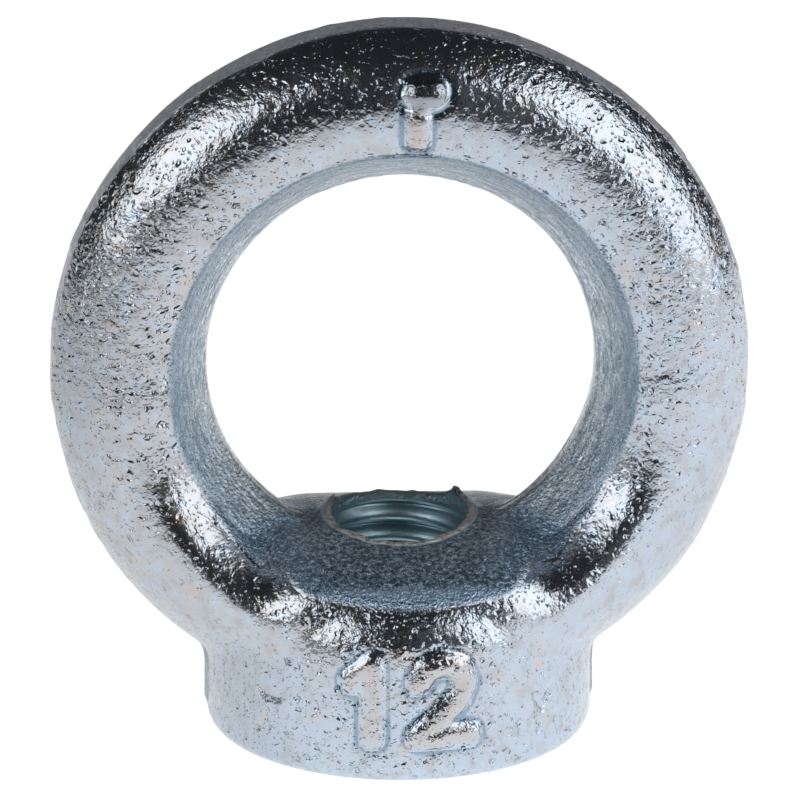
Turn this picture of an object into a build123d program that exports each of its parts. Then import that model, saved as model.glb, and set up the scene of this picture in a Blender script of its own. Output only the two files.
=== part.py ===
from build123d import *
import math
import os

# Lifting eye nut, thread M12: a round eye for a hook or shackle, drop-forged in one
# piece with a threaded collar that screws onto a stud. Millimetres, +Z up.
# The origin is the centre of the collar's base. The eye looks along Y, and the two
# forging dies met on the plane y = 0.

# Ring
EYE_CENTRE_Z = 29.9
RING_OUTER_R = 27.0         # over the trimmed rim
RING_CROWN_R = 21.2         # where the ring is thickest
RING_HALF_THICK = 6.1
RIM_LAND = 2.6              # flat left round the rim where the flash was trimmed
RIM_LEAN = 0.35             # how the section leaves the rim, inwards for each 1 sideways
CORE_R = 12.0               # the ring is made this deep inwards, then the eye is cut
CORE_HALF_THICK = 0.8
INNER_SLOPE = 1.0           # how steeply the section falls away towards the eye

# Swelling of the lower half of the ring into the collar
SWELL_START, SWELL_END = 15, 85         # degrees below the horizontal
SWELL_HALF_THICK = 7.1
FILL_START, FILL_END = 25, 75           # degrees below the horizontal
FILL_CORE_HALF = 9.5        # the inner side fills out more, to carry the eye's floor
FILL_SLOPE_LOSS = 0.5
FLANK_END = 55                          # degrees below the horizontal
FLANK_SWELL = 0.6                       # extra radius of the rim beside the collar
STATION_STEP = 15

# Eye
EYE_R = 14.95               # at its narrowest, on the parting line
EYE_LAND = 2.0              # flat left on the parting line by the trimming punch
FLARE_R = 17.8              # the eye flares from its land to this radius
FLARE_DEPTH = 5.2           # at this depth, then goes on at the dies' draft
DRAFT = math.tan(math.radians(3))
CLEAR_DEPTH = 15.5          # clear of the collar's shoulder
FLOOR_Z = 17.1              # top of the eye's floor
FLOOR_BARREL_R = 27.0       # the floor falls away to the front and back
FLOOR_CORNER_R = 2.0        # where the floor turns up into the eye

# Collar and thread
COLLAR_R = 14.85
COLLAR_WALL_Z = 9.7         # the straight wall ends here
SHOULDER_R = 5.0
SHOULDER_ARC = 60           # degrees
BASE_EDGE_R = 1.5
NECK_R = 1.5                # blends the ring into the collar
THREAD_MAJOR = 12.0
THREAD_PITCH = 1.75
BORE_R = (THREAD_MAJOR - 1.0825 * THREAD_PITCH) / 2     # crests of the nut thread
BASE_SINK_R = THREAD_MAJOR / 2 + 0.2
MOUTH_SINK_R = 5.5
MOUTH_Z = 16.4              # the mouth's lowest points, where the floor falls away

EYE_AXIS = Axis((0, 0, EYE_CENTRE_Z), (0, 1, 0))


def ease(value, start, end):
    """Smooth rise from 0 at start to 1 at end."""
    t = min(max((value - start) / (end - start), 0), 1)
    return t * t * (3 - 2 * t)


def ring_section(below):
    """Section of the ring on a plane through the eye axis, degrees below +X."""
    drop = min(below, 180 - below)
    half_thick = RING_HALF_THICK + SWELL_HALF_THICK * ease(drop, SWELL_START, SWELL_END)
    fill = ease(drop, FILL_START, FILL_END)
    core_half = CORE_HALF_THICK + FILL_CORE_HALF * fill
    slope = INNER_SLOPE - FILL_SLOPE_LOSS * fill
    outer_r = RING_OUTER_R + FLANK_SWELL * ease(drop, 0, FLANK_END)
    turn = math.radians(-below)
    out = Vector(math.cos(turn), 0, math.sin(turn))
    plane = Plane(origin=(0, 0, EYE_CENTRE_Z), x_dir=out, z_dir=out.cross(Vector(0, 1, 0)))
    with BuildSketch(plane) as section:
        with BuildLine():
            Line((outer_r, -RIM_LAND / 2), (outer_r, RIM_LAND / 2))
            Spline((outer_r, RIM_LAND / 2), (RING_CROWN_R, half_thick), (CORE_R, core_half),
                   tangents=[(-RIM_LEAN, 1), (-1, -slope)])
            Line((CORE_R, core_half), (CORE_R, -core_half))
            Spline((CORE_R, -core_half), (RING_CROWN_R, -half_thick), (outer_r, -RIM_LAND / 2),
                   tangents=[(1, -slope), (RIM_LEAN, 1)])
        make_face()
    return section.sketch


# The upper half of the ring has one section all the way round.
with BuildPart() as bow:
    add(ring_section(0))
    revolve(axis=EYE_AXIS, revolution_arc=-180)

# The lower half swells forwards and backwards to meet the collar.
with BuildPart() as cradle:
    for below in range(0, 181, STATION_STEP):
        add(ring_section(below))
    loft()

# The collar, with a rounded shoulder above its straight wall.
with BuildPart() as collar:
    with BuildSketch(Plane.XZ):
        with BuildLine():
            wall = Line((COLLAR_R, 0), (COLLAR_R, COLLAR_WALL_Z))
            shoulder = CenterArc((COLLAR_R - SHOULDER_R, COLLAR_WALL_Z), SHOULDER_R, 0,
                                 SHOULDER_ARC)
            Polyline(shoulder @ 1, (THREAD_MAJOR / 2, FLOOR_Z), (0, FLOOR_Z), (0, 0), wall @ 0)
        make_face()
    revolve(axis=Axis.Z)

# The eye, flared to the front and back of the land, less a barrel-shaped floor.
# It is made about its own centre.
with BuildPart() as eye:
    with BuildSketch(Plane.XY):
        with BuildLine():
            clear_r = FLARE_R + DRAFT * (CLEAR_DEPTH - FLARE_DEPTH)
            Polyline((0, 0), (EYE_R, 0), (EYE_R, EYE_LAND / 2), (FLARE_R, FLARE_DEPTH),
                     (clear_r, CLEAR_DEPTH), (0, CLEAR_DEPTH), close=True)
        make_face()
        mirror(about=Plane.XZ)
    revolve(axis=Axis.Y)
    with BuildSketch(Plane.YZ.offset(-COLLAR_R)):
        with Locations((0, FLOOR_Z - FLOOR_BARREL_R - EYE_CENTRE_Z)):
            Circle(FLOOR_BARREL_R)
    extrude(amount=2 * COLLAR_R, mode=Mode.SUBTRACT)
    floor_edges = eye.faces().filter_by(GeomType.CYLINDER).sort_by(Axis.Z)[0].edges()
    fillet(floor_edges.filter_by(GeomType.LINE, reverse=True), FLOOR_CORNER_R)

# The bore, smooth at the crests of the thread, countersunk at both ends.
with BuildPart() as bore:
    with BuildSketch(Plane.XZ):
        with BuildLine():
            Polyline((0, 0), (BASE_SINK_R, 0), (BORE_R, BASE_SINK_R - BORE_R),
                     (BORE_R, MOUTH_Z - MOUTH_SINK_R + BORE_R), (MOUTH_SINK_R, MOUTH_Z),
                     (MOUTH_SINK_R, FLOOR_Z + 1), (0, FLOOR_Z + 1), close=True)
        make_face()
    revolve(axis=Axis.Z)

with BuildPart() as eye_nut:
    add(bow.part)
    add(cradle.part)
    add(collar.part)
    fillet(new_edges(bow.part, cradle.part, collar.part, combined=eye_nut.part), NECK_R)
    fillet(eye_nut.faces().sort_by(Axis.Z)[0].edges(), BASE_EDGE_R)
    with Locations((0, 0, EYE_CENTRE_Z)):
        add(eye.part, mode=Mode.SUBTRACT)
    add(bore.part, mode=Mode.SUBTRACT)

os.makedirs("parts", exist_ok=True)
eye_nut.part.label = "eye_nut"
export_step(eye_nut.part, "parts/eye_nut.step")
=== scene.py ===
# %% [markdown]
# # A lifting eye nut in bright zinc
# An M12 lifting eye nut is one drop forging: a round eye for a hook, above a collar that is
# tapped right through. It is forged between two dies, trimmed, shot-blasted, tapped and zinc
# plated. The packed CAD model gives its exact shape and size. It could be shown as it is, but a
# CAD solid is too clean to pass for a forging. So this lesson adds what the forge and the
# plating shop leave on that shape: the blasted skin, the marks of the dies, the cut thread, the
# burrs at its mouth and the colours of the zinc.

# %% Load the CAD model
import itertools
import math

import bpy
import numpy as np
from mathutils import Matrix, Vector


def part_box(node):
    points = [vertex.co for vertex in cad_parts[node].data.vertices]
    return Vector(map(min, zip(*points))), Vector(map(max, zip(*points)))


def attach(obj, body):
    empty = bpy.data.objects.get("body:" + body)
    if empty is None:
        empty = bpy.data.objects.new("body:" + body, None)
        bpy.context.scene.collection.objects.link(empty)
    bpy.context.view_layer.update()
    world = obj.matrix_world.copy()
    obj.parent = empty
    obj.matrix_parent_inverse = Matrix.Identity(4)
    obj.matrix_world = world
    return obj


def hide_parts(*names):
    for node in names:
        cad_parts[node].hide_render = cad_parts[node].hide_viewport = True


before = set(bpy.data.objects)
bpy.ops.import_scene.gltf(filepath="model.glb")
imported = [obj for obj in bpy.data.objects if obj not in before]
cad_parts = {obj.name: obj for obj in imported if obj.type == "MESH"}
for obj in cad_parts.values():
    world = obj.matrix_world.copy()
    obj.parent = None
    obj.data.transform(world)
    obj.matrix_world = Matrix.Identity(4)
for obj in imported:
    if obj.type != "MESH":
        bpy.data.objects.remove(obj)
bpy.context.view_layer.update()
MM = 0.001
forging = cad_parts["eye_nut"]
low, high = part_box("eye_nut")
print("CAD nut, mm:", [round(side / MM, 2) for side in high - low])

# %% [markdown]
# ## An even net of small faces
# A CAD mesh has long thin triangles on its flat faces and none to spare where a dimple should
# go. Subdividing it would only give thinner ones. The Remesh modifier in voxel mode lays an
# even net over the same shape, so every part of the skin can be pushed in or out a little. The
# voxels are as small as the triangle budget allows; grain finer than they are is left to the
# material.

# %% Remesh a copy of the CAD shape
VOXEL = 0.32 * MM


def settled(obj):
    """Makes the mesh that an object's modifiers give its own plain mesh."""
    graph = bpy.context.evaluated_depsgraph_get()
    mesh = bpy.data.meshes.new_from_object(obj.evaluated_get(graph))
    obj.modifiers.clear()
    obj.data = mesh


def new_piece(name, mesh):
    """An object in the scene that shows a mesh."""
    obj = bpy.data.objects.new(name, mesh)
    bpy.context.scene.collection.objects.link(obj)
    return obj


nut = new_piece("zinc_plated_forging", forging.data.copy())
net = nut.modifiers.new("net", "REMESH")
net.mode = "VOXEL"
net.voxel_size = VOXEL
settled(nut)
print("net of", len(nut.data.polygons), "faces")

# %% [markdown]
# ## Points as an array
# More than ninety thousand points are too many to move one by one in a loop. An array moves
# them all at once: it has one row for each point, in millimetres, because a maker thinks of a
# nut in millimetres and the scene is in metres.

# %% Read the points


def read_vectors(items, field):
    """One row of three numbers for each vertex or normal."""
    flat = np.empty(len(items) * 3)
    items.foreach_get(field, flat)
    return flat.reshape(-1, 3)


points = read_vectors(nut.data.vertices, "co") / MM
print("points:", len(points))

# %% [markdown]
# ## Smooth random values
# Forged skin is uneven at every scale. A Displace modifier could push it about, but it would
# need a vertex group for every place where the skin is different. Noise worked out on the array
# needs none: random numbers on the corners of a cubic lattice, blended smoothly between them.
# Each corner's number is hashed from its place with whole-number sums, so the same nut comes
# out on every run. A second helper fades an effect in and out without a visible edge.

# %% Value noise on arrays of points


def lattice_value(cell, seed):
    """A fixed pseudo-random value from -1 to 1 for each whole-numbered cell."""
    key = cell @ np.array([73856093, 19349663, 83492791]) + seed * 2654435761
    key = (key ^ (key >> 15)) * 2246822519 & 0xFFFFFFFF
    key = (key ^ (key >> 13)) * 3266489917 & 0xFFFFFFFF
    return (key ^ (key >> 16)) / 0x7FFFFFFF - 1


def soft_noise(places, size, seed):
    """Smooth values from -1 to 1 whose bumps are about `size` apart."""
    scaled = places / size
    cell = np.floor(scaled).astype(np.int64)
    blend = scaled - cell
    blend = blend * blend * (3 - 2 * blend)
    total = np.zeros(len(places))
    for corner in itertools.product((0, 1), repeat=3):
        share = np.where(np.array(corner), blend, 1 - blend).prod(axis=1)
        total += share * lattice_value(cell + corner, seed)
    return total


def step_up(value, start, end):
    """Smooth rise from 0 at start to 1 at end."""
    t = np.clip((value - start) / (end - start), 0, 1)
    return t * t * (3 - 2 * t)


print("noise at the first points:", soft_noise(points[:3], 2.0, 1).round(2))

# %% [markdown]
# ## Places on the nut
# The skin differs from place to place, so each point's place is measured: how far it is from
# the eye's axis and from the bore's axis. Zones painted by hand would have to be painted again
# after every change of shape; worked out from the points, they follow it.

# %% Measure each point's place
EYE_Z = 29.9                            # height of the eye's centre over the base


def measure():
    """Each point's x, y and z, and how far it is from the eye's axis and the bore's axis."""
    x, y, z = points.T
    return x, y, z, np.hypot(x, z - EYE_Z), np.hypot(x, y)


x, y, z, eye_r, bore_r = measure()
print("the ring reaches", eye_r[z > EYE_Z].max().round(2), "mm from the eye's axis")

# %% [markdown]
# ## Rounded edges
# Blasting and barrel work take the sharpness off every edge that the dies and the trimming
# tool left. A Bevel modifier needs clean edges to follow, and a remeshed skin has none.
# Smoothing moves each point towards the middle of its neighbours instead, which hardly changes
# the broad surfaces but rounds the edges. The base and the bore are machined, so they are left.

# %% Soften every forged edge
EVEN_ROUNDS = 12
PULL = 0.5                              # how far a point goes to the middle in one round
ends = np.array([edge.vertices for edge in nut.data.edges])
neighbours = np.bincount(ends.ravel(), minlength=len(points))


def smooth(rounds, share):
    """Moves each point by its share towards the middle of its neighbours, again and again."""
    for _ in range(rounds):
        total = np.empty_like(points)
        for axis in range(3):
            row = points[:, axis]
            total[:, axis] = (np.bincount(ends[:, 0], row[ends[:, 1]], len(points))
                              + np.bincount(ends[:, 1], row[ends[:, 0]], len(points)))
        middle = total / neighbours[:, None]
        points[:] += (middle - points) * PULL * share[:, None]


smooth(EVEN_ROUNDS, step_up(z, 1.2, 2.2) * step_up(bore_r, 6.0, 6.6))
print("smoothed points:", int(((bore_r > 6.6) & (z > 2.2)).sum()))

# %% [markdown]
# ## The wall of the eye
# The eye's wall has three parts: a narrow land in the middle, a flare that opens out from it on
# each side, and a nearly straight wall with a little draft, so that the die lets go. Two lines
# give its radius at any depth from the middle plane. They could be read off the CAD mesh, but
# written as plain sums they serve the arrays here and the shader further on.

# %% The wall's radius
LAND_R, LAND_HALF = 14.95, 1.0          # the land's radius and half its width
FLARE_SLOPE = 0.68                      # how fast the flare opens
FLARE_R, FLARE_DEPTH = 17.8, 5.2        # where the flare ends
WALL_DRAFT = 0.052


def wall_lines(depth):
    """Radius of the flare and of the drafted wall; the eye's wall is the smaller of them."""
    flare = LAND_R + (depth - LAND_HALF) * FLARE_SLOPE
    return flare, FLARE_R + (depth - FLARE_DEPTH) * WALL_DRAFT


side_y = np.abs(y)
wall_r = np.minimum(*wall_lines(side_y))
print("the eye opens from", LAND_R, "to", wall_r.max().round(2), "mm")

# %% [markdown]
# ## The worn lower edge of the eye
# Beside its floor, the eye's edge is worn off far more than elsewhere, because hooks and slings
# pull there. It shows as a bright lobe on each side. More smoothing alone only blurs an edge:
# first the points are pushed in towards the middle plane, most at the eye's wall and less away
# from it, which cuts the edge back like a file, and then the cut is smoothed.

# %% Wear the flare's lower edge
FLARE_ROUNDS = 40
EDGE_WEAR, WEAR_WIDTH = 2.0, 3.8        # how deep and how wide the edge is cut back

below = np.degrees(np.arctan2(EYE_Z - z, np.abs(x)))
worn_side = step_up(below, 8, 32) * (1 - step_up(below, 52, 64))
worn_in = EDGE_WEAR * (1 - np.clip((eye_r - wall_r) / WEAR_WIDTH, 0, 1)) ** 2
points[:, 1] -= np.sign(y) * worn_side * worn_in * step_up(side_y, 3.5, 8.5)
flare_edge = (1 - step_up(np.abs(eye_r - wall_r), 1.4, 2.6)) * step_up(side_y, 5, 7)
flare_edge *= step_up(EYE_Z - z, 2, 9) * step_up(z, 13.5, 15.5)
smooth(FLARE_ROUNDS, flare_edge)
print("points on the worn edge:", int((flare_edge > 0.5).sum()))

# %% [markdown]
# ## The blasted skin
# Hot scale and steel shot leave shallow dimples one to two millimetres across, on top of slower
# waves from the dies. One size of noise would look like a pattern, so three are added together,
# and each point will move along the way it faces. The bore and the base are machined, so the
# skin fades out there. The wall of the eye and the rim were sheared by the trimming tool, so
# they are flatter.

# %% The height of the skin at each point
SKIN_LAYERS = ((0.07, 7.0, 1, 0.0),     # height and width in mm, seed, flatter where sheared
               (0.03, 2.2, 2, 0.6),
               (0.016, 1.1, 3, 0.6))


def place_points():
    """Writes the points back to the mesh and reads how they face now."""
    nut.data.vertices.foreach_set("co", (points * MM).ravel())
    nut.data.update()
    return read_vectors(nut.data.vertex_normals, "vector")


facing = place_points()
x, y, z, eye_r, bore_r = measure()
raw = step_up(bore_r, 6.2, 7.0) * step_up(z, 0.3, 1.5)
sheared = 1 - step_up(eye_r, 17.6, 18.4) * (1 - step_up(eye_r, 26.2, 26.8))
skin = np.zeros(len(points))
for height, width, seed, flatter in SKIN_LAYERS:
    skin += height * (1 - flatter * sheared) * soft_noise(points, width, seed)
lift = skin * raw
print("skin from", lift.min().round(3), "to", lift.max().round(3), "mm")

# %% [markdown]
# ## Marks from the dies
# The dies carry a few cut marks, which come out raised: a pip over a short bar at the top of
# the ring, and the plain size number 12 on the collar. Text objects would give sharp-edged
# letters that stand on the surface. Here a mark is the distance to a few strokes, turned into a
# height, so that it rises out of the skin with a soft domed top, as blasting leaves it.

# %% A stroke as a height
DOME_SPREAD = 0.25                      # mm that the dome's foot reaches past the stroke
MOAT_DEPTH, MOAT_OUT, MOAT_WIDTH = 0.12, 0.42, 0.27


def stroke_distance(across, along, line):
    """Distance from each point to a line of straight strokes."""
    best = np.full(len(across), np.inf)
    for (ax, ay), (bx, by) in zip(line, line[1:]):
        dx, dy = bx - ax, by - ay
        t = ((across - ax) * dx + (along - ay) * dy) / (dx * dx + dy * dy)
        t = np.clip(t, 0, 1)
        best = np.minimum(best, np.hypot(across - ax - t * dx, along - ay - t * dy))
    return best


def raised(distance, half_width, height):
    """A stroke with a domed top and a faint moat round it."""
    top = height * np.clip(1 - (distance / (half_width + DOME_SPREAD)) ** 2, 0, 1) ** 0.7
    moat = MOAT_DEPTH * np.exp(-((distance - half_width - MOAT_OUT) / MOAT_WIDTH) ** 2)
    return top - moat


print("a stroke 1 mm high, half way out:", raised(np.array([0.4]), 0.8, 1.0).round(2)[0], "mm")

# %% The pip and the bar at the top of the ring
PIP = ((1.0, 22.95), (2.1, 22.95))      # ends of the middle line, from the eye's centre
BAR = ((0.93, 21.4), (0.93, 19.3))
PIP_HALF, PIP_HEIGHT = 0.98, 0.75
BAR_HALF, BAR_HEIGHT = 0.8, 0.5

front = y < -1
crown = front & (z > EYE_Z + 15) & (np.abs(x) < 6)
pip = raised(stroke_distance(x, z - EYE_Z, PIP), PIP_HALF, PIP_HEIGHT)
bar = raised(stroke_distance(x, z - EYE_Z, BAR), BAR_HALF, BAR_HEIGHT)
marks = crown * np.where(pip > 0.1, np.maximum(pip, bar), pip + bar)
print("pip up to", marks.max().round(2), "mm high")

# %% [markdown]
# ## The size number
# The number runs round the collar. Projected from the front, its outer strokes would come out
# too wide, so it is drawn on the collar's unrolled side: the way round it in millimetres across,
# the height along. Its tops are worn unevenly. The collar also has two knocks: a faint outlined
# patch on the left, and a small nick on the right.

# %% Raise the number and sink the knocks
COLLAR_R, COLLAR_TOP = 14.85, 12.5
DIGITS = (((-4.6, 8.3), (-3.0, 9.7), (-3.0, 3.9)),
          ((0.6, 8.3), (1.2, 9.4), (2.5, 9.85), (3.8, 9.4), (4.3, 8.2), (3.8, 7.0),
           (0.6, 3.9), (4.7, 3.9)))
DIGIT_HALF, DIGIT_HEIGHT = 0.8, 0.65
PATCH = ((-13.0, 8.9), (-13.0, 6.0), (-12.4, 5.4), (-10.6, 5.4), (-10.0, 6.0), (-10.0, 8.9))
NICK = ((10.8, 5.9), (11.7, 4.6), (12.5, 5.7))
KNOCK_WIDTH = 0.6

on_collar = front & (z < COLLAR_TOP)
unrolled = COLLAR_R * np.arctan2(x, -y)
worn = 0.8 + 0.25 * soft_noise(points, 1.6, 5)
for line in DIGITS:
    distance = stroke_distance(unrolled, z, line)
    marks += on_collar * raised(distance, DIGIT_HALF, DIGIT_HEIGHT) * worn
lift += marks
for line, height in ((PATCH, 0.24), (NICK, -0.28)):
    distance = stroke_distance(unrolled, z, line)
    lift += on_collar * height * (1 - step_up(distance, 0, KNOCK_WIDTH))
print("marked points:", int((marks > 0.1).sum()))

# %% [markdown]
# ## Flash
# Metal that squeezes out between the dies is sheared off. That leaves a flat rim with small
# steps where the trimming tool bit, and a thin line down each side of the collar. Strips of
# their own would need joining to the ring. Both marks follow the plane where the dies met,
# which is y = 0, so a mask on y is enough to raise them out of the skin.

# %% Steps on the rim and lines down the collar
BITE = 7                                # degrees of the rim that one step takes up
STEP_HEIGHT, WAVE_HEIGHT, RIM_SINK = 0.06, 0.07, 0.03
FLASH_HEIGHT = 0.22

turn_angle = np.degrees(np.arctan2(z - EYE_Z, x))
bite = np.floor(turn_angle / BITE).astype(np.int64)
steps = lattice_value(np.stack([bite, bite, bite], axis=1), 11)
wave = soft_noise(np.stack([turn_angle / 3, y / 2, z * 0], axis=1), 1.0, 12)
on_rim = step_up(eye_r, 26.3, 26.8) * (1 - step_up(np.abs(y), 1.2, 1.9)) * step_up(z, 11, 13)
lift += on_rim * (STEP_HEIGHT * steps + WAVE_HEIGHT * wave - RIM_SINK)

flash = 1 - step_up(np.abs(y + 0.15 * soft_noise(points, 2.0, 6)), 0.15, 0.5)
flash = flash * (bore_r > 13.5) * step_up(z, 1.6, 2.4) * (1 - step_up(z, 8.6, 9.4))
lift += FLASH_HEIGHT * flash
print("rim points:", int((on_rim > 0.5).sum()), "flash points:", int((flash > 0.5).sum()))

# %% [markdown]
# ## The lip at the mouth of the thread
# The tap pushes up a ragged lip where it comes out through the floor of the eye. It leans in
# over the bore, and is highest at the back, with two burrs. Loose shapes stood on the floor
# would show a seam, so the lip is drawn out of the same skin: points round the mouth are moved
# up by an uneven height, and in towards the bore.

# %% Raise the lip and roll it in
LIP_R, LIP_SPREAD = 5.7, 0.45
LIP_FRONT, LIP_BEHIND = 0.10, 0.38      # its height in front, and what is added behind
LIP_RAGGED = ((0.12, 1.3, 7), (0.10, 0.7, 8))           # height, width, seed
BURRS = ((4.8, 3.2, 0.75, 0.85), (-5.1, 2.5, 0.35, 0.6))        # x, y, height, size
LIP_LEAN, LIP_SINK = 0.33, 0.04         # how far it leans in, and how far its front sinks

around = np.stack([x, y, z * 0], axis=1)
lip = np.exp(-((bore_r - LIP_R) / LIP_SPREAD) ** 2) * step_up(z, 15.6, 16.2) * (z < 19)
lip_height = LIP_FRONT + LIP_BEHIND * step_up(y, -2.5, 3.0)
for height, width, seed in LIP_RAGGED:
    lip_height += height * soft_noise(around, width, seed)
for burr_x, burr_y, height, size in BURRS:
    lip_height += height * np.exp(-((x - burr_x) ** 2 + (y - burr_y) ** 2) / size ** 2)
lift_up = lip * lip_height
lift -= LIP_SINK * lip * (1 - step_up(y, -3, 0))
rolled_in = LIP_LEAN * step_up(z, 16.1, 16.7) * (1 - step_up(bore_r, 5.4, 6.4)) * (z < 19)
print("lip up to", lift_up.max().round(2), "mm high")

# %% [markdown]
# ## Moving the points
# All the heights are moved in one go, so that none is measured on a surface that another has
# already changed. The marks and the lip are also kept on the mesh as attributes: numbers that
# each point carries, which the material can read to tint those places.

# %% Move the skin and keep the marks as attributes
points[:, :2] *= (1 - rolled_in / np.maximum(bore_r, 1))[:, None]
points += facing * lift[:, None]
points[:, 2] += lift_up
place_points()
for name, values in (("raised_mark", marks), ("tap_lip", lip)):
    layer = nut.data.attributes.new(name, "FLOAT", "POINT")
    layer.data.foreach_set("value", values)
print("lowest and highest point, mm:", points.min(axis=0).round(2), points.max(axis=0).round(2))

# %% [markdown]
# ## A cutter for the thread
# An M12 thread rises 1.75 mm a turn. A stack of rings would look like a thread but wouldn't
# climb. So a screw-shaped cutter is swept along the helix, each turn sewn to the next. It is
# longer than the bore at both ends. Near the mouth it grows thinner than the bore, so that the
# lip stays whole.

# %% Points of the screw-shaped cutter
PITCH = 1.75
CREST_R, ROOT_R = 5.10, 5.98            # the nut's crests, and the bottom of its grooves
AROUND = 120                            # stations in one turn
STATIONS = 14 * AROUND
START_Z = -3.2
THINNER, THIN_FROM, THIN_TO = 0.85, 15.4, 16.6
PROFILE = ((0.00, CREST_R), (0.23, CREST_R), (0.36, 5.36), (0.50, 5.66), (0.57, ROOT_R - 0.05),
           (0.62, ROOT_R), (0.67, ROOT_R - 0.05), (0.74, 5.66), (0.88, 5.36))

verts = []
for station in range(STATIONS):
    angle = 2 * math.pi * station / AROUND
    for part_of_pitch, radius in PROFILE:
        height = START_Z + (station / AROUND + part_of_pitch) * PITCH
        radius += (CREST_R - radius) * THINNER * step_up(height, THIN_FROM, THIN_TO)
        verts.append((radius * math.cos(angle), radius * math.sin(angle), height))
print("cutter points:", len(verts))

# %% Faces of the cutter


def spot(station, step):
    """Number of a cutter point; past the profile's end it is the next turn's first."""
    if step == len(PROFILE):
        return (station + AROUND) * len(PROFILE)
    return station * len(PROFILE) + step


def end_loop(station):
    """The open edge at one end of the helix, all the way round."""
    edge = [spot(station + k, 0) for k in range(AROUND + 1)]
    return edge + [spot(station, step) for step in range(len(PROFILE) - 1, 0, -1)]


faces = []
for station in range(STATIONS - AROUND - 1):
    for step in range(len(PROFILE)):
        faces.append((spot(station, step), spot(station + 1, step),
                      spot(station + 1, step + 1), spot(station, step + 1)))
for station, flip in ((0, 1), (STATIONS - AROUND - 1, -1)):
    loop = end_loop(station)
    middle = len(verts)
    verts.append((0, 0, sum(verts[n][2] for n in loop) / len(loop)))
    faces += [(middle, b, a)[::flip] for a, b in zip(loop, loop[1:] + loop[:1])]
print("cutter faces:", len(faces))

# %% [markdown]
# ## Cutting the thread
# The cutter is taken out of the forging as a tap takes out the metal, with a Boolean. Both
# meshes are closed, which is all that the manifold solver asks, and it is far quicker on so
# many faces than the exact one. A groove faked with Bump would leave the edge of the mouth
# smooth.

# %% Cut the thread
cutter_mesh = bpy.data.meshes.new("thread_cutter")
cutter_mesh.from_pydata([Vector(v) * MM for v in verts], [], faces)
cutter_mesh.validate()
cutter = new_piece("thread_cutter", cutter_mesh)
cut = nut.modifiers.new("thread", "BOOLEAN")
cut.operation = "DIFFERENCE"
cut.solver = "MANIFOLD"
cut.object = cutter
settled(nut)
bpy.data.objects.remove(cutter)
for face in nut.data.polygons:
    face.use_smooth = True
print("cut nut:", len(nut.data.polygons), "faces")

# %% [markdown]
# ## A small language for shader maths
# A material is a graph of nodes, and sums written as nodes are hard to read. This class wraps
# a socket so that masks can be written as ordinary sums: each operator adds one Math node. Its
# reflected forms let a number come first, as in 1 - mask. Colours don't go through it, because
# a Math node would turn them grey.

# %% Wrap sockets so that they can be added and multiplied


class Wire:
    """An output socket of a node, usable in sums."""

    def __init__(self, tree, socket):
        self.tree = tree
        self.socket = socket

    def output(self, name):
        """Another output of the same node."""
        return Wire(self.tree, self.socket.node.outputs[name])

    def math(self, operation, *others):
        """A Math node with this value first."""
        return self.tree.math(operation, self, *others)

    def __add__(self, other):
        return self.math("ADD", other)

    def __mul__(self, other):
        return self.math("MULTIPLY", other)

    def __sub__(self, other):
        return self.math("SUBTRACT", other)

    def __truediv__(self, other):
        return self.math("DIVIDE", other)

    def __pow__(self, other):
        return self.math("POWER", other)

    def __rsub__(self, other):
        return self.tree.math("SUBTRACT", other, self)

    def __rtruediv__(self, other):
        return self.tree.math("DIVIDE", other, self)

    def __rpow__(self, other):
        return self.tree.math("POWER", other, self)

    __radd__ = __add__
    __rmul__ = __mul__

    def __abs__(self):
        return self.math("ABSOLUTE")

    def clipped(self):
        """The value kept between 0 and 1."""
        return self.math("MINIMUM", 1.0).math("MAXIMUM", 0.0)


print("reflected forms:", [name for name in vars(Wire) if name.startswith("__r")])

# %% [markdown]
# ## One way to add a node
# Every other node comes from one method. It sets the node's own settings first, because some of
# them change which sockets there are, and then gives each socket a value or a wire. It could be
# written out for each node, but that would take five lines where one says the same.

# %% The node graph of a material


class Tree:
    """The node graph of one material or of the world."""

    def __init__(self, owner):
        owner.use_nodes = True
        self.nodes = owner.node_tree.nodes
        self.links = owner.node_tree.links
        self.nodes.clear()

    def node(self, kind, settings=None, values=None, out=0):
        """Adds a node: its settings first, then a value or a Wire for each socket."""
        node = self.nodes.new(kind)
        for name, value in (settings or {}).items():
            setattr(node, name, value)
        sockets = {s.identifier: s for s in node.inputs}
        for name, value in (values or {}).items():
            socket = node.inputs[name] if isinstance(name, int) else sockets[name]
            if isinstance(value, Wire):
                self.links.new(value.socket, socket)
            else:
                socket.default_value = value
        for number, socket in enumerate(node.outputs):
            if out in (number, socket.identifier):
                return Wire(self, socket)
        return None

    def math(self, operation, *values):
        """A Math node on values and wires."""
        return self.node("ShaderNodeMath", {"operation": operation}, dict(enumerate(values)))


zinc = bpy.data.materials.new("blue_passivated_zinc")
tree = Tree(zinc)
print("an empty graph for", zinc.name)

# %% [markdown]
# ## Where the material is
# The nut has no seams to unwrap it along, so the material doesn't use a UV map. It takes the
# place of each point on the object, in millimetres, and works out the same zones as above: the
# wall of the eye, its floor, the trimmed rim and the bore.

# %% Places in millimetres
place = tree.node("ShaderNodeTexCoord", None, None, "Object")
mm = tree.node("ShaderNodeVectorMath", {"operation": "SCALE"},
               {"Vector": place, "Scale": 1 / MM}, "Vector")
px = tree.node("ShaderNodeSeparateXYZ", None, {"Vector": mm}, "X")
py, pz = px.output("Y"), px.output("Z")
depth = abs(py)
above = pz - EYE_Z
from_eye = (px * px + above * above) ** 0.5
from_bore = (px * px + py * py) ** 0.5
print("nodes so far:", len(tree.nodes))

# %% Masks for the wall, the floor, the rim and the bore
FLOOR_Z = 17.1                          # height of the eye's floor at the middle plane
FLOOR_CURVE = 54                        # it falls by the depth squared over this


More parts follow.
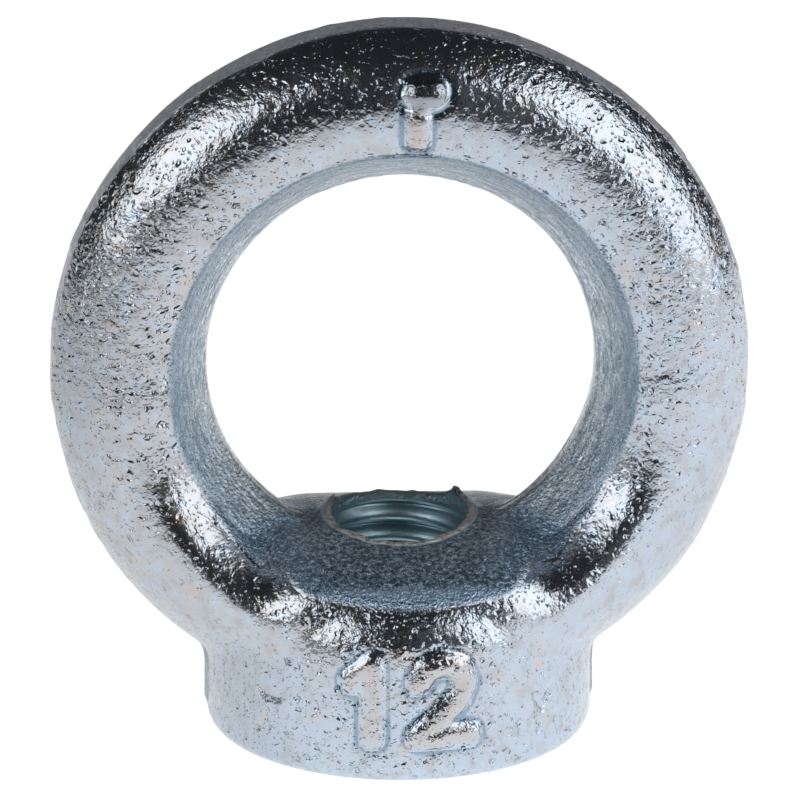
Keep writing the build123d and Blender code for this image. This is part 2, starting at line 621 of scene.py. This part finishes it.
def rise(value, start, end):
    """Smooth rise from 0 at start to 1 at end."""
    return value.tree.node("ShaderNodeMapRange", {"interpolation_type": "SMOOTHSTEP"},
                           {"Value": value, "From Min": start, "From Max": end,
                            "To Min": 0.0, "To Max": 1.0})


flare, drafted = wall_lines(depth)
into_wall = from_eye - flare.math("MINIMUM", drafted)
over_floor = pz - (FLOOR_Z - py * py / FLOOR_CURVE)
inside = (1 - rise(into_wall, 0.1, 0.5)) * rise(over_floor, -0.55, -0.25)
floor_mask = inside * (1 - rise(over_floor, 0.3, 1.6))
band_mask = inside * (1 - floor_mask)
rim_mask = rise(from_eye, 26.1, 26.6) * (1 - rise(depth, 1.0, 1.8))
rim_mask = rim_mask * rise(pz, 9.5, 12.5)
bore_mask = (1 - rise(from_bore, 6.0, 6.15)) * (1 - rise(pz, 17.4, 17.8))
print("nodes so far:", len(tree.nodes))

# %% [markdown]
# ## Bright zinc
# The plating is a thin bright metal with a faint blue passivate over it. Seen close it isn't one
# colour: it shifts from warm to cool across the nut, with clouds of blue and of dull grey a
# millimetre or two wide and a tan bloom where the passivate is thin. One noise with many octaves
# would mix these up. Each gets a noise of its own size instead, which can be tuned by itself.

# %% Noises that the colours share
PER_MM = {"broad": 0.09, "patches": 0.45, "clouds": 0.8, "mottle": 1.3, "speck": 2.6,
          "sparkle": 4.6}


def noise(place, per_mm, detail=2.0, rough=0.5):
    """Noise from 0 to 1 on a place given in millimetres."""
    return place.tree.node("ShaderNodeTexNoise", None,
                           {"Vector": place, "Scale": per_mm, "Detail": detail,
                            "Roughness": rough})


broad = noise(mm, PER_MM["broad"])
patches = noise(mm, PER_MM["patches"])
clouds = noise(mm, PER_MM["clouds"])
mottle = noise(mm, PER_MM["mottle"], 4.0, 0.7)
speck = rise(noise(mm, PER_MM["speck"], 3.0, 0.65), 0.38, 0.66)
sparkle = rise(noise(mm, PER_MM["sparkle"], 2.0, 0.6), 0.60, 0.70)
print("bumps in each mm:", PER_MM)

# %% [markdown]
# ## Tints in thin coats
# A plater's colours lie over each other in thin coats, and a Mix node does the same: its mask
# says how much of the new tint covers the old one. A Color Ramp could do it for one noise, but
# not for masks that come from places on the nut. Two helpers make one coat and a stack of coats.

# %% Mix two colours, and lay tints over a colour


def mix(share, first, second):
    """A colour between two others."""
    return share.tree.node("ShaderNodeMix", {"data_type": "RGBA"},
                           {"Factor_Float": share, "A_Color": first, "B_Color": second},
                           "Result_Color")


def tinted(colour, *tints):
    """A colour with tints laid over it in turn, each as strong as its mask."""
    for share, tint in tints:
        colour = mix(share, colour, tint)
    return colour


sideways = rise(px + (broad - 0.5) * 30.0, -18.0, 12.0)
low_down = 1 - rise(pz + (patches - 0.5) * 6.0, 3.0, 14.0)
upper_left = (1 - rise(px, -26.5, -19.0)) * rise(pz, 18.0, 30.0)
collar_left = (1 - rise(px, -13.5, -7.0)) * (1 - rise(pz, 8.5, 11.0))
print("nodes so far:", len(tree.nodes))

# %% The colour of the blasted skin
WARM_ZINC, COOL_ZINC = (0.50, 0.52, 0.545, 1), (0.50, 0.55, 0.62, 1)
LOW_ZINC = (0.50, 0.57, 0.65, 1)
BLUE_CLOUD, DULL_CLOUD = (0.50, 0.60, 0.72, 1), (0.40, 0.40, 0.41, 1)
FLANK_DARK_REFLECTION, COLLAR_LEFT_DARKER = (0.28, 0.32, 0.36, 1), (0.36, 0.41, 0.46, 1)
TAN_BLOOM = (0.62, 0.52, 0.45, 1)

skin_colour = tinted(
    mix(sideways, WARM_ZINC, COOL_ZINC),
    (low_down, LOW_ZINC),
    (rise(clouds, 0.50, 0.68) * 0.6, BLUE_CLOUD),
    ((1 - rise(clouds, 0.34, 0.48)) * 0.4, DULL_CLOUD),
    # painted dark reflection on the outer left of the ring
    (upper_left * 0.5, FLANK_DARK_REFLECTION),
    # a darker grey on the lower left of the collar
    (collar_left * 0.45, COLLAR_LEFT_DARKER),
    (rise(patches + (mottle - 0.5) * 0.3, 0.58, 0.74) * 0.4, TAN_BLOOM))
print("nodes so far:", len(tree.nodes))

# %% [markdown]
# ## Tints on the marks
# The tops of the raised marks have lost some of their blue and look tan; the round pip is
# painted dark. The passivate gathers in the moats round them. Places alone would miss the worn
# edges of the marks. The attribute kept on the mesh knows them: it is above 0 on a mark and
# below 0 in its moat, so one number places both tints.

# %% Tint the marks and their moats
TAN_TOP, DARK_PIP = (0.57, 0.50, 0.45, 1), (0.22, 0.23, 0.24, 1)
BLUE_MOAT = (0.22, 0.32, 0.42, 1)

mark = tree.node("ShaderNodeAttribute", {"attribute_name": "raised_mark"}, None, "Fac")
top_colour = mix(rise(above, 21.3, 21.9), TAN_TOP, DARK_PIP)
skin_colour = tinted(
    skin_colour,
    (rise(mark + (mottle - 0.5) * 0.3, 0.2, 0.45) * 0.5, top_colour),
    (rise(0 - mark, 0.03, 0.08) * 0.85, BLUE_MOAT))
print("nodes so far:", len(tree.nodes))

# %% [markdown]
# ## Streaks on the wall of the eye
# The trimming tool dragged along the wall and left streaks round the eye. A noise has no
# direction, so it is given one: its place is the angle round the eye and the distances from its
# axis and middle plane, with the angle scaled down, which draws the noise out along the wall.
# The wall is painted darker towards its outer edge and at the top of the eye, as painted shade,
# and its bright specks are painted glints.

# %% Streaks and colour of the wall
ALONG, ACROSS = 8.0, 2.6                # noise per radian round the eye, and per mm across it
WALL_PALE, WALL_EDGE_SHADE = (0.82, 0.89, 0.95, 1), (0.42, 0.52, 0.62, 1)
STREAK_DARK, GRAIN_DARK = (0.22, 0.30, 0.38, 1), (0.22, 0.31, 0.40, 1)
WALL_TOP_SHADE, WALL_GLINT = (0.20, 0.27, 0.34, 1), (0.82, 0.88, 0.93, 1)

around_eye = tree.node("ShaderNodeCombineXYZ", None,
                       {"X": above.math("ARCTAN2", px) * ALONG, "Y": py * ACROSS,
                        "Z": from_eye * ACROSS})
streaks = noise(around_eye, 1.0, 4.0, 0.65)
near_edge = rise(from_eye + (streaks - 0.5) * 2.0, 15.6, 18.0)
# painted shade at the wall's outer edge and top, and painted glints
band_colour = tinted(
    mix(near_edge, WALL_PALE, WALL_EDGE_SHADE),
    ((1 - rise(streaks, 0.40, 0.56)) * 0.75, STREAK_DARK),
    ((1 - speck) * 0.5, GRAIN_DARK),
    (rise(above, 9.0, 15.0) * 0.35, WALL_TOP_SHADE),
    (sparkle * 0.6, WALL_GLINT))
print("nodes so far:", len(tree.nodes))

# %% [markdown]
# ## The floor of the eye
# The floor is the darkest face, because it looks up into the dark of the room. A pale floor
# would still show the lamps, so that dark reflection is painted into its colour: a slate blue,
# with painted glints for its fine sparkle. Its front edge and its sides, where it curves away,
# are painted a lighter blue as painted reflection. Behind the bore it is nearly black.

# %% Colour of the floor
FLOOR_DARK_REFLECTION, FLOOR_LIGHT = (0.04, 0.08, 0.13, 1), (0.37, 0.49, 0.60, 1)
FLOOR_GLINT, FLOOR_EDGE_REFLECTION = (0.85, 0.92, 0.98, 1), (0.52, 0.72, 0.92, 1)
FLOOR_BACK = (0.13, 0.16, 0.165, 1)

edge_of_floor = rise(depth, 10.5, 11.6)
edge_of_floor = edge_of_floor.math("MAXIMUM", rise(abs(px), 5.0, 11.0) * 0.5)
# painted dark reflection, painted glints and a lighter edge of painted reflection
floor_colour = tinted(
    mix(speck, FLOOR_DARK_REFLECTION, FLOOR_LIGHT),
    (sparkle * 0.6, FLOOR_GLINT),
    (edge_of_floor * 0.8, FLOOR_EDGE_REFLECTION),
    (rise(py, 2.5, 5.5) * 0.8, FLOOR_BACK))
print("nodes so far:", len(tree.nodes))

# %% [markdown]
# ## Rim and lip
# The trimmed rim shows the faint lavender and green that thin passivate gives on a smooth cut.
# The torn lip round the mouth is brownish in front, where the plating is rubbed through, and
# dark at the back. A lip mask with a clean edge would look like a washer, so it is made ragged
# by adding noise to the distance before the cut-off.

# %% Colours of the rim and the lip
RIM_LAVENDER, RIM_GREEN = (0.76, 0.71, 0.83, 1), (0.64, 0.75, 0.80, 1)
RIM_GRAIN = (0.34, 0.37, 0.42, 1)
LIP_BROWN, LIP_PALE = (0.24, 0.19, 0.16, 1), (0.70, 0.61, 0.55, 1)
LIP_DARK = (0.22, 0.26, 0.27, 1)

rim_shift = rise(broad + (patches - 0.5) * 0.4, 0.38, 0.62)
rim_colour = tinted(mix(rim_shift, RIM_LAVENDER, RIM_GREEN), ((1 - speck) * 0.6, RIM_GRAIN))
on_lip = tree.node("ShaderNodeAttribute", {"attribute_name": "tap_lip"}, None, "Fac")
ragged = from_bore + (mottle - 0.5) * 0.5 + (clouds - 0.5) * 0.5
lip_mask = rise(on_lip, 0.08, 0.2) * rise(from_bore, 5.15, 5.3)
lip_mask = lip_mask * (1 - rise(ragged, 5.8, 6.1))
torn = noise(mm, 2.4, 4.0, 0.7)
lip_colour = tinted(mix(rise(torn, 0.40, 0.60), LIP_BROWN, LIP_PALE),
                    (rise(py, -3.0, 2.0) * 0.8, LIP_DARK))
print("nodes so far:", len(tree.nodes))

# %% [markdown]
# ## All the colours together
# The nut is one forging, so it wears one material, and each place is laid over the skin by its
# mask. Separate materials on separate faces would meet in saw-toothed lines. The order matters
# where masks overlap: the bore, tapped after blasting and a clean blue-green, covers the floor,
# and the torn lip comes last, over both.

# %% Lay each place over the skin
BORE_TEAL = (0.42, 0.58, 0.64, 1)
colour = tinted(
    skin_colour,
    (band_mask, band_colour),
    (floor_mask, floor_colour),
    (rim_mask, rim_colour),
    (bore_mask, BORE_TEAL),
    (lip_mask * 0.85, lip_colour))
print("nodes so far:", len(tree.nodes))

# %% [markdown]
# ## Where the finest grain lies
# Shot leaves craters a few tenths of a millimetre wide, too small for the net of points. They
# aren't spread evenly: the blast hit the upper part and the middle hardest, and hardly reached
# the very top of the ring or the place under the floor. Grain that was even all over would look
# printed, so a mask says how busy each place is.

# %% Where the skin is busy
upper = rise(pz, 16.0, 30.0) * (1 - rise(px, 16.0, 25.0) * 0.5)
middle = 1 - rise(abs(px), 6.0, 13.0)
left = 1 - rise(px, -25.0, -16.0)
collar = 1 - rise(pz, 9.0, 13.0)
calm_top = rise(pz, 44.5, 50.0) * (1 - rise(px, 4.0, 14.0) * 0.6)
under_floor = rise(pz, 9.5, 12.0) * (1 - rise(pz, 15.5, 17.0))
under_floor = under_floor * (1 - rise(abs(px), 10.0, 14.0))
busy = upper.math("MAXIMUM", middle).math("MAXIMUM", left * 1.1)
busy = 0.5 + 0.5 * busy.math("MAXIMUM", collar * 0.6)
busy = busy * rise(noise(mm, 0.25, 3.0), 0.12, 0.48)
busy = busy * (1 - calm_top * 0.6 - under_floor * 0.4)
print("nodes so far:", len(tree.nodes))

# %% [markdown]
# ## Craters and gouges
# The craters come as a height that a Bump node turns into shading. Each one acts as a tiny bent
# mirror, so it shows as a dark dash on a bright place and as a white speck on a dark one. Noise
# gives rounded waves, not bowls; a Voronoi texture has a middle in every cell, which makes a
# bowl, and noise added to its place keeps the bowls from lying in rows.

# %% A scatter of round pits
BEND = 0.6                              # mm that noise bends the net of pits by


def pits(place, per_mm, radius, share):
    """Round bowls, 1 in the middle and 0 outside, in a share of the cells of a net."""
    cell = place.tree.node("ShaderNodeTexVoronoi", {"feature": "F1"},
                           {"Vector": place, "Scale": per_mm}, "Distance")
    luck = place.tree.node("ShaderNodeSeparateColor", None, {"Color": cell.output("Color")})
    return (1 - rise(cell, radius * 0.25, radius)) * rise(luck, 1 - share, 1.0)


sway = tree.node("ShaderNodeTexNoise", None, {"Vector": mm, "Scale": 1.6, "Detail": 1.0},
                 "Color")
bent = tree.node("ShaderNodeVectorMath", {"operation": "MULTIPLY_ADD"},
                 {0: sway, 1: (BEND, BEND, BEND), 2: mm}, "Vector")
craters = pits(bent, 1.35, 0.46, 0.7)
small_pits = pits(bent, 2.9, 0.44, 0.9)
print("nodes so far:", len(tree.nodes))

# %% Gouges on the flanks, and the blasted relief
SQUAT = (0.8, 1.0, 1.5)                 # makes the gouges wider than they are high
CRATER_DEPTH, PIT_DEPTH, GOUGE_DEPTH = 0.16, 0.085, 0.17        # mm

left_flank = 1 - rise(px, -19.0, -11.0)
right_flank = rise(px, 15.0, 19.0) * (1 - rise(px, 20.0, 24.0)) * 0.7
flank = left_flank.math("MAXIMUM", right_flank)
flank = flank * rise(pz, 20.0, 27.0) * (1 - rise(pz, 43.0, 48.0))
squat = tree.node("ShaderNodeVectorMath", {"operation": "MULTIPLY"}, {0: bent, 1: SQUAT},
                  "Vector")
gouges = pits(squat, 1.1, 0.5, 0.5) * flank
peel = noise(mm, 1.35, 3.0, 0.55)
relief = peel * (0.06 + 0.08 * busy)
relief = relief - (craters * CRATER_DEPTH + small_pits * PIT_DEPTH) * busy
relief = relief - gouges * GOUGE_DEPTH
print("nodes so far:", len(tree.nodes))

# %% [markdown]
# ## Relief of the sheared faces
# The wall, the floor and the rim have no craters. They have the streaks of the trimming tool
# and a fine grain, so one mask swaps the blasted relief for theirs; two Bump nodes in a row
# would add the two instead. The bore is nearly smooth, and the torn lip is rougher than
# anything else.

# %% Put the reliefs together
STREAK_DEPTH, GRAIN_DEPTH, TEAR_DEPTH = 0.18, 0.24, 0.45        # mm

fine = noise(mm, 3.4, 2.0, 0.6)
sheared_relief = streaks * STREAK_DEPTH + fine * GRAIN_DEPTH
sheared_places = (band_mask + rim_mask + floor_mask).clipped()
height = relief * (1 - sheared_places) + sheared_relief * sheared_places
height = height * (1 - bore_mask * 0.8) + lip_mask * torn * TEAR_DEPTH
bump = tree.node("ShaderNodeBump", None, {"Height": height, "Strength": 1.0, "Distance": MM})
print("nodes in all:", len(tree.nodes))

# %% [markdown]
# ## The finish
# Plating is all metal, so Metallic is 1 and the Base Color is the colour of its mirror. A clear
# coat over grey would look like varnish. A low roughness keeps the mirror sharp in each crater;
# the bore and the rim are duller. The finished piece then rides on the nut's one body and
# stands for the CAD node.

# %% Put the finish on the nut
BRIGHT, BORE_DULLER, RIM_DULLER = 0.2, 0.2, 0.15
roughness = BRIGHT + BORE_DULLER * bore_mask + RIM_DULLER * rim_mask
shader = tree.node("ShaderNodeBsdfPrincipled", None,
                   {"Base Color": colour, "Metallic": 1.0, "Roughness": roughness,
                    "Normal": bump})
tree.node("ShaderNodeOutputMaterial", None, {"Surface": shader})
nut.data.materials.clear()
nut.data.materials.append(zinc)

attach(nut, "root")
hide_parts("eye_nut")
print("the nut wears", nut.data.materials[0].name)

# %% [markdown]
# ## The table
# A mirror shows the room, so the room matters as much as the metal. The nut stands on a sheet
# of white paper, far wider than the view, which catches its shadow. A plain flat sheet is
# enough, because nothing on it is looked at.

# %% White paper under the nut
TABLE_HALF = 2.5
corners = [(a * TABLE_HALF, b * TABLE_HALF, 0) for a, b in ((-1, -1), (1, -1), (1, 1), (-1, 1))]
floor_mesh = bpy.data.meshes.new("table_top")
floor_mesh.from_pydata(corners, [], [(0, 1, 2, 3)])
floor = new_piece("table_top", floor_mesh)
print("table of", 2 * TABLE_HALF, "m")

# %% [markdown]
# ## The paper's glow
# The camera sees the paper as plain white, through Is Camera Ray. The metal sees a paper that
# is bright near the nut and dims further off, as a lit table does, through Is Glossy Ray; Is
# Transmission Ray stands ready for glass. More lamps could whiten the paper too, but they would
# put their light on the nut as well.

# %% Make the paper
PAPER, GLOW = 0.85, 0.80                # the light it gives back, and how strongly it glows
BRIGHTEST = (0.09, 0.03, 0.0)           # the best lit place on the table, in metres
NEAR_LIT, FALL_PER_M, DIMMEST = 1.15, 1.9, 0.28


def grey(level):
    """A colour with no tint."""
    return (level, level, level, 1.0)


paper = bpy.data.materials.new("white_paper")
tree = Tree(paper)
seen = tree.node("ShaderNodeLightPath", None, None, "Is Camera Ray")
mirrored, through = seen.output("Is Glossy Ray"), seen.output("Is Transmission Ray")
on_table = tree.node("ShaderNodeTexCoord", None, None, "Object")
away = tree.node("ShaderNodeVectorMath", {"operation": "DISTANCE"},
                 {0: on_table, 1: BRIGHTEST}, "Value")
lit = (NEAR_LIT - away * FALL_PER_M).math("MAXIMUM", DIMMEST)
glow_colour = mix(seen, mix(lit, grey(0.0), grey(1.0)), grey(1.0))
diffuse = tree.node("ShaderNodeBsdfDiffuse", None, {"Color": grey(PAPER)})
glow = tree.node("ShaderNodeEmission", None,
                 {"Color": glow_colour, "Strength": (seen + mirrored + through) * GLOW})
both = tree.node("ShaderNodeAddShader", None, {0: diffuse, 1: glow})
tree.node("ShaderNodeOutputMaterial", None, {"Surface": both})
floor_mesh.materials.append(paper)
print("nodes in the paper:", len(tree.nodes))

# %% [markdown]
# ## Lamps
# Two soft boxes, left and right of the nut and above it, give the two bright streaks on the
# ring. Small lamps would show in the metal as dots. The boxes' size sets how wide a streak is,
# and the gap between them gives the dark top. A faint fill in front keeps that dark from going
# dead, and a long low light behind edges the back of the floor.

# %% Soft boxes


def soft_box(name, azimuth, elevation, width, height, strength, distance=0.6):
    """An area lamp that faces the eye; azimuth is turned from the front, to the right."""
    a, e = math.radians(azimuth), math.radians(elevation)
    away = Vector((math.sin(a) * math.cos(e), -math.cos(a) * math.cos(e), math.sin(e)))
    lamp = bpy.data.lights.new(name, "AREA")
    lamp.shape = "RECTANGLE"
    lamp.size, lamp.size_y = width, height
    lamp.energy = strength * math.pi * width * height
    obj = bpy.data.objects.new(name, lamp)
    obj.location = Vector((0, 0, EYE_Z * MM)) + away * distance
    obj.rotation_euler = away.to_track_quat("Z", "Y").to_euler()
    bpy.context.scene.collection.objects.link(obj)


soft_box("soft_box_left", -65, 30, 0.60, 0.43, 1.75)
soft_box("soft_box_right", 70, 27, 0.60, 0.60, 1.75)
soft_box("front_fill", 22, 25, 0.34, 0.45, 0.06)
soft_box("back_light", 180, 22, 1.6, 0.5, 0.46, distance=1.2)
print("lamps:", len(bpy.data.lights))

# %% [markdown]
# ## The dark of the room
# What the metal sees above and between the lamps is the room. Walls could be built for it, but
# at this size they would only be dark. A plain world of a very dark, slightly blue grey stands
# for them.

# %% A dim world
ROOM_DARK = (0.020, 0.022, 0.024, 1)
room = bpy.data.worlds.new("dim_room")
bpy.context.scene.world = room
tree = Tree(room)
dark = tree.node("ShaderNodeBackground", None, {"Color": ROOM_DARK})
tree.node("ShaderNodeOutputWorld", None, {"Surface": dark})
print("world:", room.name)

# %% [markdown]
# ## Camera
# A small part is shown with a long lens from a metre away, because a short lens close by would
# make the near side of the ring look swollen. The camera stands a little left of the front and
# looks down by 19 degrees. It is placed from the eye's centre along its own back direction, and
# then moved down a little, so that the whole nut fills the frame.

# %% Place the camera
LENS, SENSOR = 620, 36                  # mm
YAW, TILT, ROLL = 3.69, 19.15, 0.247    # degrees
DISTANCE = 1.0626                       # metres from the eye's centre
AIM_BELOW = 3.45                        # mm from the eye's centre down to the view's middle

camera_data = bpy.data.cameras.new("camera")
camera_data.lens = LENS
camera_data.sensor_width = SENSOR
camera_data.clip_end = 10
camera = bpy.data.objects.new("camera", camera_data)
bpy.context.scene.collection.objects.link(camera)
yaw, tilt = math.radians(YAW), math.radians(TILT)
back = Vector((-math.sin(yaw) * math.cos(tilt), -math.cos(yaw) * math.cos(tilt), math.sin(tilt)))
turn = back.to_track_quat("Z", "Y").to_matrix() @ Matrix.Rotation(math.radians(ROLL), 3, "Z")
up = turn @ Vector((0, 1, 0))
camera.location = Vector((0, 0, EYE_Z * MM)) + back * DISTANCE - up * AIM_BELOW * MM
camera.rotation_euler = turn.to_euler()
bpy.context.scene.camera = camera
bpy.context.scene.view_settings.view_transform = "Standard"
print("camera at", [round(c, 3) for c in camera.location])
